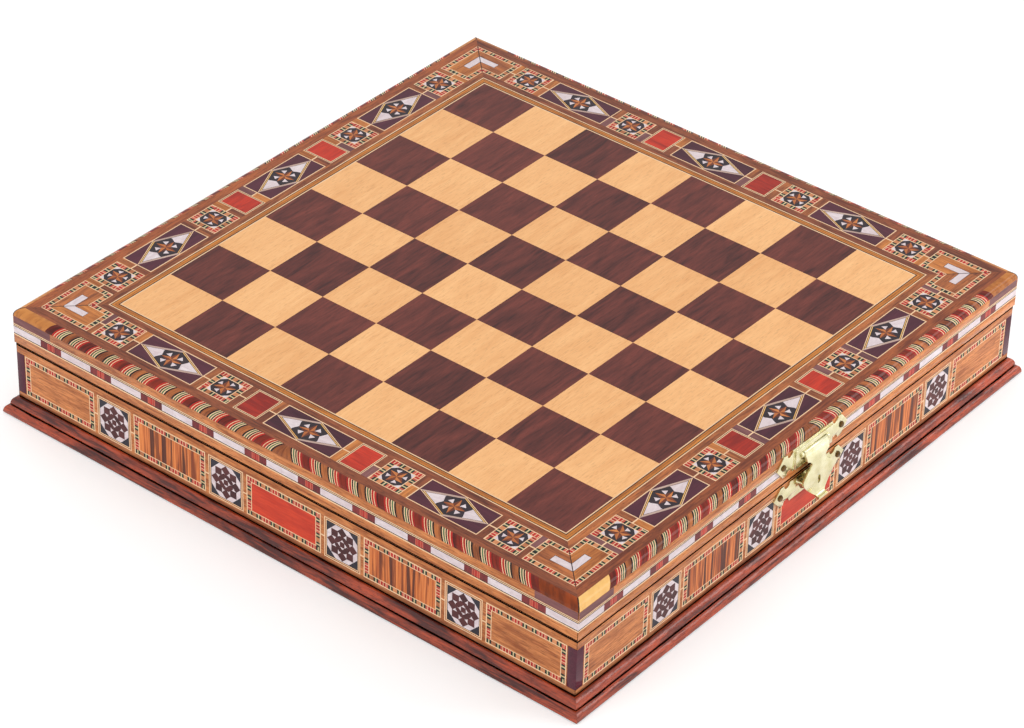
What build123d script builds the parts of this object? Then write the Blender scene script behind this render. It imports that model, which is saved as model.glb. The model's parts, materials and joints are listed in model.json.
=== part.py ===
# A hinged storage box whose lid is an inlaid chess board, in millimetres.
# The origin is the centre of the foot. +Z is up, the latch faces -Y and the hinges are at +Y.
import os
from build123d import *

os.makedirs("parts", exist_ok=True)

# The playing field
square = 38.0
squares_per_side = 8

# Bands of the lid's top, from the field outwards
stringing_w = 5.0
inner_band_w = 4.5
motif_w = 21.0
outer_band_w = 6.0
edge_r = 4.5

# Tiles along the motif band, measured along each side: the diamonds fill what the others leave
red_w = 16.4
tile_gap = 4.4
corner_tile_gap = 3.5
corner_tile_l = 34.0

# The lid
lid_h = 22.0
lid_panel_t = 8.0
lid_rail_t = 10.0
top_veneer_t = 1.2
pearl_band_h = 7.3
pearl_band_top = 9.5
side_veneer_t = 1.0

# The box
lid_overhang = 0.6
lid_gap = 0.6
wall_h = 45.4
wall_t = 10.0
bottom_t = 4.0
bottom_rebate = 4.0
panel_fit = 0.2

# Tiles on the four walls: the panels fill what the stars and posts leave
side_star_w = 24.4
side_tile_gap = 2.3
corner_post_gap = 0.55
side_tile_h = 25.5
side_tile_z = 26.75
corner_post_w = 5.6

# The plinth moulding
plinth_h = 10.2
plinth_out = 6.6
plinth_step = 3.6
plinth_groove = 0.7
plinth_foot_cut = 0.6

# Velvet and dividers
velvet_t = 1.2
lining_drop = 1.8
divider_t = 3.0
divider_h = 37.0
cell_depth = 100.0
cells_per_row = 8

# Back hinges
hinge_l = 40.0
leaf_h = 14.0
leaf_t = 1.2
knuckle_r = 2.0
knuckle_count = 5
hinge_clearance = 0.3
hinge_pin_r = 0.8
pin_fit = 0.05
pin_head_r = 1.5
pin_head_l = 0.8
stop_lip_r = 4.2
stop_lip_t = 1.2
opening_angle = 100.0
stop_play = 0.5
stop_tilt = 10.0
leaf_screw_x = 11.0
screw_head_r = 2.0
screw_head_h = 0.9
screw_shank_r = 0.9
screw_l = 8.0

# The latch
plate_body_w = 34.0
plate_w = 62.0
plate_h = 13.0
plate_t = 1.0
plate_body_t = 2.2
plate_edge_cut = 0.8
plate_notch_r = 2.6
nail_x = 25.5
nail_head_r = 1.9
nail_head_h = 0.9
nail_shank_r = 0.7
nail_l = 8.0
latch_drop = 10.9
hasp_axis_lift = 1.2
hasp_top_w = 20.0
hasp_roll_r = 1.6
hasp_pin_r = 0.6
hasp_axis_out = 1.9
hasp_lug_w = 2.0
hasp_clearance = 0.3
hasp_t = 1.2
hasp_tab_w = 18.9
hasp_tab_h = 4.5
hasp_waist_w = 12.0
hasp_waist_drop = 8.0
hasp_body_w = 27.4
hasp_body_drop = 15.9
hasp_taper_w = 21.3
hasp_taper_drop = 21.1
hasp_foot_w = 7.6
hasp_foot_drop = 27.4
hasp_slot_w = 2.2
hasp_slot_h = 5.0
hasp_slot_drop = 19.3
keeper_drop = 30.5
keeper_h = 12.0
keeper_post_w = 26.0
keeper_post_foot_w = 14.0
keeper_post_h = 8.5
keeper_post_slope = 2.6
keeper_post_r = 0.8
head_taper = 30.0

# Places that follow from the sizes
field_half = square * squares_per_side / 2
stringing_half = field_half + stringing_w
motif_in = stringing_half + inner_band_w
motif_out = motif_in + motif_w
motif_mid = (motif_in + motif_out) / 2
flat_half = motif_out + outer_band_w
lid_half = flat_half + edge_r
wall_half = lid_half - lid_overhang
inner_half = wall_half - wall_t
lid_z = wall_h + lid_gap
top_z = lid_z + lid_h
panel_z = top_z - lid_panel_t
lining_half = inner_half - velvet_t
floor_z = bottom_t + velvet_t
divider_y = lining_half - cell_depth - divider_t / 2
cell_pitch = 2 * lining_half / cells_per_row
sides = (("front", 0), ("right", 90), ("back", 180), ("left", 270))

# Along each half side of the top: half a diamond, red, star, a whole diamond, star
diamonds_run = motif_out - corner_tile_l - corner_tile_gap - 4 * tile_gap - red_w - 2 * motif_w
diamond_w = diamonds_run / 1.5
diamond_out = diamond_w / 2
red_mid = diamond_out + tile_gap + red_w / 2
inner_star_mid = red_mid + red_w / 2 + tile_gap + motif_w / 2
outer_diamond_mid = inner_star_mid + motif_w / 2 + tile_gap + diamond_w / 2
outer_star_mid = outer_diamond_mid + diamond_w / 2 + tile_gap + motif_w / 2

# Along each wall: five panels with four stars between them
panels_run = 2 * (wall_half - corner_post_w - corner_post_gap) - 4 * side_star_w - 8 * side_tile_gap
side_panel_w = panels_run / 5
side_star_mid = side_panel_w / 2 + side_tile_gap + side_star_w / 2
side_pitch = 2 * side_star_mid
hinge_x = side_pitch


def both_ways(*places):
    """Each place along a side and its mirror image."""
    return [place * sign for place in places for sign in (-1, 1)]


def side_plane(turn, distance=0.0):
    """Plane square to a side: local X runs along it and local Y is up."""
    outward = Vector(0, -1, 0).rotate(Axis.Z, turn)
    along = Vector(1, 0, 0).rotate(Axis.Z, turn)
    return Plane(origin=outward * distance, x_dir=along, z_dir=outward)


def section_plane(turn):
    """Plane across a side: local X is the distance from the centre and local Y is up."""
    outward = Vector(0, -1, 0).rotate(Axis.Z, turn)
    along = Vector(1, 0, 0).rotate(Axis.Z, turn)
    return Plane(origin=(0, 0, 0), x_dir=outward, z_dir=-along)


def plane_across(x, y, z):
    """Plane square to X: local X is +Y and local Y is up."""
    return Plane(origin=(x, y, z), x_dir=(0, 1, 0), z_dir=(1, 0, 0))


def plane_facing_front(y, z):
    """Plane that faces the front: local X is +X and local Y is up."""
    return Plane(origin=(0, y, z), x_dir=(1, 0, 0), z_dir=(0, -1, 0))


def mitred_side(turn, outline):
    """Moulding of one side with the given section, mitred at both corners."""
    reach = wall_half + plinth_out + 1
    with BuildPart() as side:
        with BuildSketch(section_plane(turn)):
            with BuildLine():
                outline()
            make_face()
        extrude(amount=reach, both=True)
        with BuildSketch(Plane.XY.rotated((0, 0, turn))):
            Polygon((0, 0), (-reach, -reach), (reach, -reach), align=None)
        extrude(amount=top_z, mode=Mode.INTERSECT)
    return side


def finish_node(part, name):
    part.label = name
    export_step(part, f"parts/{name}.step")


def no_holes():
    """Used for a moulding that no nail or screw goes through."""


def finish_strips(outline, name, cut_holes=no_holes):
    """Four separate mitred strips in one node."""
    strips = []
    for side_name, turn in sides:
        blank = mitred_side(turn, outline)
        with BuildPart() as strip:
            add(blank.part)
            cut_holes()
        strips.append(strip.part)
    finish_node(Compound(children=strips), name)


# Outlines of the tiles, shared by each tile and its pocket
def top_tiles(width, places):
    with PolarLocations(motif_mid, len(sides), start_angle=-90):
        with Locations(*[(0, place) for place in places]):
            Rectangle(motif_w, width)


def corner_tiles():
    inner = motif_out - corner_tile_l
    with PolarLocations(0, len(sides)):
        Polygon(
            (-motif_out, -motif_out), (-inner, -motif_out), (-inner, -motif_in),
            (-motif_in, -motif_in), (-motif_in, -inner), (-motif_out, -inner),
            align=None,
        )


def field_outline():
    Rectangle(2 * stringing_half, 2 * stringing_half)


def star_tiles():
    top_tiles(motif_w, both_ways(inner_star_mid, outer_star_mid))


def diamond_tiles():
    top_tiles(diamond_w, [0, *both_ways(outer_diamond_mid)])


def red_tiles():
    top_tiles(red_w, both_ways(red_mid))


# Tiles on the walls: width, and the places of their middles along the wall
wall_tiles = {
    "side_star_tiles": (side_star_w, both_ways(side_star_mid, side_star_mid + side_pitch)),
    "side_red_panels": (side_panel_w, [0]),
    "side_striped_panels": (side_panel_w, both_ways(side_pitch)),
    "side_walnut_panels": (side_panel_w, both_ways(2 * side_pitch)),
}


def wall_tile_outline(turn, width, places):
    with BuildSketch(side_plane(turn, wall_half)) as outline:
        with Locations(*[(place, side_tile_z) for place in places]):
            Rectangle(width, side_tile_h)
    return outline.sketch


def corner_post_outline():
    with BuildSketch(Plane.XY.offset(side_tile_z - side_tile_h / 2)) as outline:
        with PolarLocations(0, len(sides)):
            end = wall_half - corner_post_w
            skin = wall_half - side_veneer_t
            Polygon(
                (-wall_half, -wall_half), (-end, -wall_half), (-end, -skin),
                (-skin, -skin), (-skin, -end), (-wall_half, -end),
                align=None,
            )
    return outline.sketch


# Places of the fasteners: nails in the latch plates and screws in the hinge leaves
latch_z = top_z - latch_drop
keeper_z = top_z - keeper_drop
hinge_y = lid_half + knuckle_r + hinge_clearance
hinge_z = lid_z - lid_gap / 2
leaf_out = lid_half + leaf_t
screw_rise = (leaf_h + knuckle_r) / 2
screw_places = [(x + dx, screw_rise) for x in both_ways(hinge_x) for dx in both_ways(leaf_screw_x)]


def nail_holes(z, face):
    """Cylinders through a plate on the front and into the wood behind it."""
    with BuildSketch(Plane.XZ.offset(face + plate_t)) as holes:
        with Locations(*[(x, z) for x in both_ways(nail_x)]):
            Circle(nail_shank_r + pin_fit)
    extrude(holes.sketch, amount=-nail_l, mode=Mode.SUBTRACT)


def screw_holes(upward):
    """Cylinders through the hinge leaves and into the wood in front of them."""
    with BuildSketch(Plane.XZ.offset(-leaf_out)) as holes:
        with Locations(*[(x, hinge_z + upward * z) for x, z in screw_places]):
            Circle(screw_shank_r + pin_fit)
    extrude(holes.sketch, amount=screw_l, mode=Mode.SUBTRACT)


# Bottom board, let into a rebate of the walls
bottom_half = inner_half + bottom_rebate - panel_fit
with BuildPart() as bottom_panel:
    with BuildSketch():
        Rectangle(2 * bottom_half, 2 * bottom_half)
    extrude(amount=bottom_t)
finish_node(bottom_panel.part, "bottom_panel")


# Four mitred walls with a rebate for the bottom and pockets for the inlay
def wall_outline():
    Polyline(
        (inner_half + bottom_rebate, 0), (wall_half, 0), (wall_half, wall_h), (inner_half, wall_h),
        (inner_half, bottom_t), (inner_half + bottom_rebate, bottom_t),
        close=True,
    )


for side_name, turn in sides:
    blank = mitred_side(turn, wall_outline)
    with BuildPart() as wall:
        add(blank.part)
        for width, places in wall_tiles.values():
            extrude(wall_tile_outline(turn, width, places), amount=-side_veneer_t, mode=Mode.SUBTRACT)
        extrude(corner_post_outline(), amount=side_tile_h, mode=Mode.SUBTRACT)
        if side_name == "front":
            nail_holes(keeper_z, wall_half)
        if side_name == "back":
            screw_holes(-1)
    finish_node(wall.part, f"wall_{side_name}")

# Wall inlay: flush veneer tiles, one node for each kind
for tile_name, (width, places) in wall_tiles.items():
    with BuildPart() as wall_inlay:
        for side_name, turn in sides:
            extrude(wall_tile_outline(turn, width, places), amount=-side_veneer_t)
        nail_holes(keeper_z, wall_half)
        screw_holes(-1)
    finish_node(wall_inlay.part, tile_name)

with BuildPart() as corner_posts:
    extrude(corner_post_outline(), amount=side_tile_h)
finish_node(corner_posts.part, "side_corner_posts")


# Plinth moulding: two rounded beads with a groove between them, round the foot
def plinth_outline():
    step = wall_half + plinth_step
    outer = wall_half + plinth_out
    groove_z = plinth_h / 2
    upper_z = groove_z + plinth_groove
    Polyline((outer - plinth_foot_cut, 0), (wall_half, 0), (wall_half, plinth_h))
    EllipticalCenterArc((wall_half, upper_z), plinth_step, plinth_h - upper_z, start_angle=0, arc_size=90)
    Polyline((step, upper_z), (step - plinth_groove, groove_z), (step, groove_z))
    bead_h = groove_z - plinth_foot_cut
    EllipticalCenterArc((step, plinth_foot_cut), outer - step, bead_h, start_angle=0, arc_size=90)
    Line((outer, plinth_foot_cut), (outer - plinth_foot_cut, 0))


for side_name, turn in sides:
    plinth = mitred_side(turn, plinth_outline)
    finish_node(plinth.part, f"plinth_{side_name}")

# Velvet on the bottom, on the walls and under the lid
with BuildPart() as bottom_velvet:
    with BuildSketch(Plane.XY.offset(bottom_t)):
        Rectangle(2 * lining_half, 2 * lining_half)
    extrude(amount=velvet_t)
finish_node(bottom_velvet.part, "bottom_velvet")


def lining_outline():
    lining_top = wall_h - lining_drop
    Polyline(
        (lining_half, bottom_t), (inner_half, bottom_t), (inner_half, lining_top), (lining_half, lining_top),
        close=True,
    )


finish_strips(lining_outline, "wall_velvet")

# Dividers: two long boards and seven short ones in each row
for row, sign in (("front", -1), ("back", 1)):
    with BuildPart() as long_divider:
        with BuildSketch(Plane.XY.offset(floor_z)):
            with Locations((0, sign * divider_y)):
                Rectangle(2 * lining_half, divider_t)
        extrude(amount=divider_h)
    finish_node(long_divider.part, f"long_divider_{row}")

    for number in range(1, cells_per_row):
        with BuildPart() as cross_divider:
            with BuildSketch(Plane.XY.offset(floor_z)):
                with Locations((number * cell_pitch - lining_half, sign * (lining_half - cell_depth / 2))):
                    Rectangle(divider_t, cell_depth)
            extrude(amount=divider_h)
        finish_node(cross_divider.part, f"cross_divider_{row}_{number}")

# Lid board with pockets for the field, its stringing and the motif tiles
with BuildPart() as lid_panel:
    with BuildSketch(Plane.XY.offset(panel_z)):
        Rectangle(2 * flat_half, 2 * flat_half)
    extrude(amount=lid_panel_t)
    with BuildSketch(Plane.XY.offset(top_z)):
        field_outline()
        star_tiles()
        diamond_tiles()
        red_tiles()
        corner_tiles()
    extrude(amount=-top_veneer_t, mode=Mode.SUBTRACT)
finish_node(lid_panel.part, "lid_panel")


# Lid rails: mitred, rebated for the board, with a groove for the pearl band
pearl_top = top_z - pearl_band_top
pearl_foot = pearl_top - pearl_band_h


def lid_rail_outline():
    inner = lid_half - lid_rail_t
    groove = lid_half - side_veneer_t
    shoulder = top_z - edge_r
    Polyline(
        (inner, lid_z), (lid_half, lid_z), (lid_half, pearl_foot), (groove, pearl_foot), (groove, pearl_top),
        (lid_half, pearl_top), (lid_half, shoulder), (flat_half, shoulder), (flat_half, panel_z), (inner, panel_z),
        close=True,
    )


for side_name, turn in sides:
    blank = mitred_side(turn, lid_rail_outline)
    with BuildPart() as lid_rail:
        add(blank.part)
        if side_name == "front":
            nail_holes(latch_z, lid_half)
        if side_name == "back":
            screw_holes(1)
    finish_node(lid_rail.part, f"lid_rail_{side_name}")


def pearl_outline():
    groove = lid_half - side_veneer_t
    Polyline(
        (groove, pearl_foot), (lid_half, pearl_foot), (lid_half, pearl_top), (groove, pearl_top),
        close=True,
    )


def edge_outline():
    centre = (flat_half, top_z - edge_r)
    Line(centre, (lid_half, top_z - edge_r))
    CenterArc(centre, edge_r, 0, 90)
    Line((flat_half, top_z), centre)


def pearl_holes():
    nail_holes(latch_z, lid_half)
    screw_holes(1)


finish_strips(pearl_outline, "lid_pearl_band", pearl_holes)
finish_strips(edge_outline, "lid_edge_banding")

# Playing squares, flush in the lid board
row_middles = [(number + 0.5) * square - field_half for number in range(squares_per_side)]
for colour, parity in (("dark", 0), ("light", 1)):
    with BuildPart() as square_set:
        for column, x in enumerate(row_middles):
            for row, y in enumerate(row_middles):
                if (column + row) % 2 == parity:
                    with Locations((x, y, top_z - top_veneer_t / 2)):
                        Box(square, square, top_veneer_t)
    finish_node(square_set.part, f"{colour}_squares")


def stringing_outline():
    low = top_z - top_veneer_t
    Polyline(
        (field_half, low), (stringing_half, low), (stringing_half, top_z), (field_half, top_z),
        close=True,
    )


finish_strips(stringing_outline, "field_stringing")

for tile_name, outline in (
    ("top_star_tiles", star_tiles),
    ("top_diamond_tiles", diamond_tiles),
    ("top_red_tiles", red_tiles),
    ("top_corner_tiles", corner_tiles),
):
    with BuildPart() as top_inlay:
        with BuildSketch(Plane.XY.offset(top_z - top_veneer_t)):
            outline()
        extrude(amount=top_veneer_t)
    finish_node(top_inlay.part, tile_name)

with BuildPart() as lid_velvet:
    velvet_half = lid_half - lid_rail_t
    with BuildSketch(Plane.XY.offset(panel_z - velvet_t)):
        Rectangle(2 * velvet_half, 2 * velvet_half)
    extrude(amount=velvet_t)
finish_node(lid_velvet.part, "lid_velvet")


# Back hinges: surface leaves, five knuckles and lips that meet when the lid is fully open
knuckle_l = hinge_l / knuckle_count


def hinge_section(upward, leaf_face, lip_angle):
    """One leaf, its knuckles and its stop lip, cut clear of the other leaf's knuckles."""
    first = 0 if upward < 0 else 1
    own = [(number + 0.5) * knuckle_l - hinge_l / 2 for number in range(first, knuckle_count, 2)]
    other = [(number + 0.5) * knuckle_l - hinge_l / 2 for number in range(1 - first, knuckle_count, 2)]
    gap = hinge_clearance / 2
    with BuildPart() as leaf:
        for middle in both_ways(hinge_x):
            across = plane_across(middle, hinge_y, hinge_z)
            with BuildSketch(across):
                with Locations((leaf_face - hinge_y, upward * gap)):
                    align_y = Align.MIN if upward > 0 else Align.MAX
                    Rectangle(leaf_out - leaf_face, leaf_h, align=(Align.MIN, align_y))
            extrude(amount=hinge_l / 2 - gap, both=True)
            with BuildSketch(across):
                with Locations(Location((0, 0), lip_angle)):
                    align_y = Align.MIN if upward > 0 else Align.MAX
                    Rectangle(stop_lip_r, stop_lip_t, align=(Align.MIN, align_y))
            extrude(amount=hinge_l / 2 - gap, both=True)
            for places, radius, shorter, mode in (
                (own, knuckle_r, -gap, Mode.ADD),
                (other, knuckle_r + hinge_clearance, gap, Mode.SUBTRACT),
            ):
                for place in places:
                    with BuildSketch(plane_across(middle + place, hinge_y, hinge_z)):
                        Circle(radius)
                    extrude(amount=knuckle_l / 2 + shorter, both=True, mode=mode)
            with BuildSketch(across):
                Circle(hinge_pin_r + pin_fit)
            extrude(amount=hinge_l, both=True, mode=Mode.SUBTRACT)
        screw_heads = [(x, hinge_z + upward * z) for x, z in screw_places]
        with BuildSketch(Plane.XZ.offset(-leaf_out)):
            with Locations(*screw_heads):
                Circle(screw_head_r + pin_fit)
        extrude(amount=screw_head_h, mode=Mode.SUBTRACT)
        screw_holes(upward)
    return leaf


lid_lip_angle = opening_angle / 2 + stop_tilt
box_lip_angle = lid_lip_angle - opening_angle - stop_play
box_leaves = hinge_section(-1, wall_half, box_lip_angle)
finish_node(box_leaves.part, "hinge_box_leaves")
lid_leaves = hinge_section(1, lid_half, lid_lip_angle)
finish_node(lid_leaves.part, "hinge_lid_leaves")

with BuildPart() as hinge_pins:
    for middle in both_ways(hinge_x):
        across = plane_across(middle, hinge_y, hinge_z)
        with BuildSketch(across):
            Circle(hinge_pin_r)
        extrude(amount=hinge_l / 2, both=True)
        for end in (-1, 1):
            with BuildSketch(across.offset(end * hinge_l / 2)):
                Circle(pin_head_r)
            extrude(amount=end * pin_head_l, taper=head_taper)
finish_node(hinge_pins.part, "hinge_pins")

for node, upward in (("hinge_box_screws", -1), ("hinge_lid_screws", 1)):
    with BuildPart() as screws:
        heads = [(x, hinge_z + upward * z) for x, z in screw_places]
        with BuildSketch(Plane.XZ.offset(-leaf_out)):
            with Locations(*heads):
                Circle(screw_head_r)
        extrude(amount=screw_head_h)
        with BuildSketch(Plane.XZ.offset(-leaf_out + screw_head_h)):
            with Locations(*heads):
                Circle(screw_shank_r)
        extrude(amount=screw_l - screw_head_h)
    finish_node(screws.part, node)


# Latch plates: a body with a pointed, notched ear at each end
def latch_outline(plane, height):
    tip = plate_w / 2
    ear = height / 2
    notch_x = (plate_body_w / 2 + nail_x - plate_notch_r) / 2
    with BuildSketch(plane) as outline:
        with BuildLine():
            Polyline(
                (-nail_x, -ear), (nail_x, -ear), (tip, 0), (nail_x, ear), (-nail_x, ear), (-tip, 0),
                close=True,
            )
        make_face()
        with Locations(*[(x, y) for x in both_ways(notch_x) for y in both_ways(ear)]):
            Circle(plate_notch_r, mode=Mode.SUBTRACT)
    return outline.sketch


hasp_axis_y = -(lid_half + hasp_axis_out)
hasp_axis_z = latch_z + hasp_axis_lift
slot_half = hasp_top_w / 2 + hasp_clearance
slot_h = 2 * (hasp_roll_r + hasp_clearance)

with BuildPart() as latch_plate:
    front_of_lid = plane_facing_front(-lid_half, latch_z)
    extrude(latch_outline(front_of_lid, plate_h), amount=plate_t)
    with BuildSketch(front_of_lid):
        Rectangle(plate_body_w - 2 * plate_edge_cut, plate_h - 2 * plate_edge_cut)
    extrude(amount=plate_body_t)
    with BuildSketch(plane_facing_front(-lid_half, hasp_axis_z)):
        Rectangle(2 * slot_half, slot_h)
    extrude(amount=plate_body_t, mode=Mode.SUBTRACT)
    for end in (-1, 1):
        lug = Plane(origin=(end * slot_half, hasp_axis_y, hasp_axis_z), x_dir=(0, 1, 0), z_dir=(end, 0, 0))
        with BuildSketch(lug):
            Circle(hasp_roll_r)
        extrude(amount=hasp_lug_w)
    with BuildSketch(plane_across(0, hasp_axis_y, hasp_axis_z)):
        Circle(hasp_pin_r + pin_fit)
    extrude(amount=slot_half + hasp_lug_w, both=True, mode=Mode.SUBTRACT)
    nail_holes(latch_z, lid_half)
finish_node(latch_plate.part, "latch_plate")

with BuildPart() as latch_hinge_pin:
    with BuildSketch(plane_across(0, hasp_axis_y, hasp_axis_z)):
        Circle(hasp_pin_r)
    extrude(amount=slot_half + hasp_lug_w, both=True)
finish_node(latch_hinge_pin.part, "latch_hinge_pin")

for node, z, face in (("latch_nails", latch_z, lid_half), ("keeper_nails", keeper_z, wall_half)):
    with BuildPart() as nails:
        head_plane = Plane.XZ.offset(face + plate_t)
        with BuildSketch(head_plane):
            with Locations(*[(x, z) for x in both_ways(nail_x)]):
                Circle(nail_shank_r)
        extrude(amount=-nail_l)
        with BuildSketch(head_plane):
            with Locations(*[(x, z) for x in both_ways(nail_x)]):
                Circle(nail_head_r)
        extrude(amount=nail_head_h, taper=head_taper)
    finish_node(nails.part, node)

# The hasp: a bent strip with a waist, a wide body and an outward lip, rolled round its pin.
# Its path is given as distances out from the pin and down from it.
strap_path = (
    (hasp_roll_r - hasp_t / 2, 0.0), (1.7, 1.6), (2.7, 4.5), (3.2, 8.0), (3.9, 16.0), (4.3, 21.0),
    (4.8, 25.8), (5.8, 27.8), (8.2, 28.5),
)
strap_out, strap_drop = strap_path[-1]
across_latch = Plane(origin=(0, hasp_axis_y, hasp_axis_z), x_dir=(0, -1, 0), z_dir=(-1, 0, 0))
front_of_pin = plane_facing_front(hasp_axis_y, hasp_axis_z)

with BuildPart() as hasp:
    with BuildSketch(across_latch):
        with BuildLine():
            strap = Spline(*[(out, -drop) for out, drop in strap_path])
        trace(line_width=hasp_t)
    extrude(amount=hasp_body_w / 2, both=True)
    with BuildSketch(front_of_pin):
        with BuildLine():
            tab_foot = (hasp_tab_w / 2, -hasp_tab_h)
            foot = (hasp_foot_w / 2, -hasp_foot_drop)
            strap_end = -strap_drop - hasp_t
            Polyline((0, hasp_roll_r), (hasp_top_w / 2, hasp_roll_r), (hasp_top_w / 2, 0), tab_foot)
            Spline(
                tab_foot, (hasp_waist_w / 2, -hasp_waist_drop), (hasp_body_w / 2, -hasp_body_drop),
                (hasp_taper_w / 2, -hasp_taper_drop), foot,
            )
            Polyline(foot, (hasp_foot_w / 2, strap_end), (0, strap_end))
            mirror(about=Plane.YZ)
        make_face()
    extrude(amount=2 * strap_out, both=True, mode=Mode.INTERSECT)
    with BuildSketch(across_latch):
        Circle(hasp_roll_r)
    extrude(amount=hasp_top_w / 2, both=True)
    with BuildSketch(across_latch):
        Circle(hasp_pin_r + pin_fit)
    extrude(amount=hasp_top_w, both=True, mode=Mode.SUBTRACT)
    with BuildSketch(front_of_pin):
        with Locations((0, -hasp_slot_drop)):
            SlotOverall(hasp_slot_h, hasp_slot_w, rotation=90)
    extrude(amount=strap_out, mode=Mode.SUBTRACT)
finish_node(hasp.part, "hasp")

# Keeper on the box: a plate like the latch's, with a raised post behind the hasp
with BuildPart() as keeper_plate:
    front_of_box = plane_facing_front(-wall_half, keeper_z)
    extrude(latch_outline(front_of_box, keeper_h), amount=plate_t)
    nail_holes(keeper_z, wall_half)
finish_node(keeper_plate.part, "keeper_plate")


# The post's tip stands just behind the hasp, where the strap passes in front of it
def strap_out_at(drop):
    """Outward distance of the strap's middle line at this depth below the pin."""
    for (near, above), (far, below) in zip(strap_path, strap_path[1:]):
        if above <= drop <= below:
            return near + (far - near) * (drop - above) / (below - above)
    return strap_out


post_top_z = keeper_z + keeper_post_h / 2 - keeper_post_slope
strap_back = strap_out_at(hasp_axis_z - post_top_z) - hasp_t / 2
keeper_post_out = -hasp_axis_y + strap_back - hasp_clearance - wall_half


def post_outline(offset, inset):
    """The post's trapezium, as far in from its base outline as the inset says."""
    high = keeper_post_h / 2 - inset
    with BuildSketch(front_of_box.offset(offset)) as outline:
        Polygon(
            (inset - keeper_post_w / 2, high), (keeper_post_w / 2 - inset, high),
            (keeper_post_foot_w / 2 - inset, -high), (inset - keeper_post_foot_w / 2, -high),
            align=None,
        )
        fillet(outline.vertices(), keeper_post_r)
    return outline.sketch


with BuildPart() as keeper_post:
    loft([post_outline(plate_t, 0), post_outline(keeper_post_out, keeper_post_slope)])
finish_node(keeper_post.part, "keeper_post")
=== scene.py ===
# An inlaid chess board box: its marquetry, lacquer, velvet and brass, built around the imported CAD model.
# Lengths are in millimetres until they reach a mesh, a light or the camera.
import functools
import json
import math
import random
import bmesh
import bpy
from mathutils import Matrix, Vector

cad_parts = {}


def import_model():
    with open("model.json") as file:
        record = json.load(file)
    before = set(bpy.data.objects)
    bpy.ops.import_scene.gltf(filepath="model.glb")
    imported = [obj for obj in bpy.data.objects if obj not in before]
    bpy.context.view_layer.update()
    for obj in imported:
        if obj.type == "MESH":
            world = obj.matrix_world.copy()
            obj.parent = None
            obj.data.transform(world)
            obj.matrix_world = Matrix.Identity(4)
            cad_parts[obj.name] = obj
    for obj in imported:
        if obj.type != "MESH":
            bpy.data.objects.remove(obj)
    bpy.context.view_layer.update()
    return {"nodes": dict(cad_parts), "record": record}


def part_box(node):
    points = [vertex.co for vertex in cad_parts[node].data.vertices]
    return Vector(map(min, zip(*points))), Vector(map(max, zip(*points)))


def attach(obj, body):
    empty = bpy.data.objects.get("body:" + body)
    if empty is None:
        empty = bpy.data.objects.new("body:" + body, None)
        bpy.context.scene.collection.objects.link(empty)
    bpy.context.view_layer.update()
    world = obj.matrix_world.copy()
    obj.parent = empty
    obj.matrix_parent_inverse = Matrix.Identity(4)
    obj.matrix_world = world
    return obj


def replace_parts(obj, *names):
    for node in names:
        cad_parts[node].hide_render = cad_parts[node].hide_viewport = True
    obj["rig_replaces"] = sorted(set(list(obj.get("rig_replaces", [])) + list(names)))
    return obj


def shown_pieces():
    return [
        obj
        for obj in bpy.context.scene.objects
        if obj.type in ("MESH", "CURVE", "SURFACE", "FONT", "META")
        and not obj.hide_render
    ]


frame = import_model()
MM = 0.001
TURNS = (0, 90, 180, 270)
SIDES = ("front", "right", "back", "left")


# Sizes read from the frame
def reach(node):
    """How far a node reaches towards +X."""
    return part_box(node)[1].x / MM


def heights(node):
    """Lowest and highest point of a node."""
    low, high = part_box(node)
    return low.z / MM, high.z / MM


field_half = reach("dark_squares")
stringing_half = reach("field_stringing")
motif_out = reach("top_corner_tiles")
flat_half = reach("lid_panel")
lid_half = reach("lid_rail_right")
wall_half = reach("side_star_tiles")
veneer_low, top_z = heights("top_star_tiles")
board_low = heights("lid_panel")[0]
pearl_low, pearl_high = heights("lid_pearl_band")
tile_low, tile_high = heights("side_star_tiles")
plinth_high = heights("plinth_front")[1]
seam_z = heights("wall_front")[1]
floor_low, floor_high = heights("bottom_velvet")
lining_low, lining_high = heights("wall_velvet")
lid_lining_low, lid_lining_high = heights("lid_velvet")
floor_half = reach("bottom_velvet")
lining_half = reach("wall_velvet")
lid_lining_half = reach("lid_velvet")

# Sizes of the inlay
squares_per_side = 8
motif_w = 21.0
diamond_w = 46.0
red_w = 16.4
tile_gap = 4.4
corner_tile_l = 34.0
side_veneer_t = 1.0
side_panel_w = 51.3
side_star_w = 24.4
side_tile_gap = 2.3
tick_w = 0.8
tick_proud = 0.03
# Height of the painted shadow lines along each wall
shadow_line_h = 1.0
wall_ease = 0.35

square = 2 * field_half / squares_per_side
top_veneer_t = top_z - veneer_low
edge_r = lid_half - flat_half
motif_in = motif_out - motif_w
motif_mid = (motif_in + motif_out) / 2
inner = motif_out - corner_tile_l
red_mid = diamond_w / 2 + tile_gap + red_w / 2
inner_star_mid = red_mid + red_w / 2 + tile_gap + motif_w / 2
outer_diamond_mid = inner_star_mid + motif_w / 2 + tile_gap + diamond_w / 2
outer_star_mid = outer_diamond_mid + diamond_w / 2 + tile_gap + motif_w / 2
side_star_mid = side_panel_w / 2 + side_tile_gap + side_star_w / 2
side_star_mids = side_star_mid, 3 * side_star_mid
side_tile_h = tile_high - tile_low
side_tile_z = (tile_high + tile_low) / 2


# Convex outlines, as lists of points
HAIR = 1e-4
SPECK = 1e-3
SNAP = 0.004


def turn_of(a, b, p):
    """Distance of p to the left of the line from a to b."""
    length = math.hypot(b[0] - a[0], b[1] - a[1])
    return ((b[0] - a[0]) * (p[1] - a[1]) - (b[1] - a[1]) * (p[0] - a[0])) / length


def edges(points):
    return zip(points, points[1:] + points[:1])


def area(points):
    return sum(p[0] * q[1] - q[0] * p[1] for p, q in edges(points)) / 2


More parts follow.
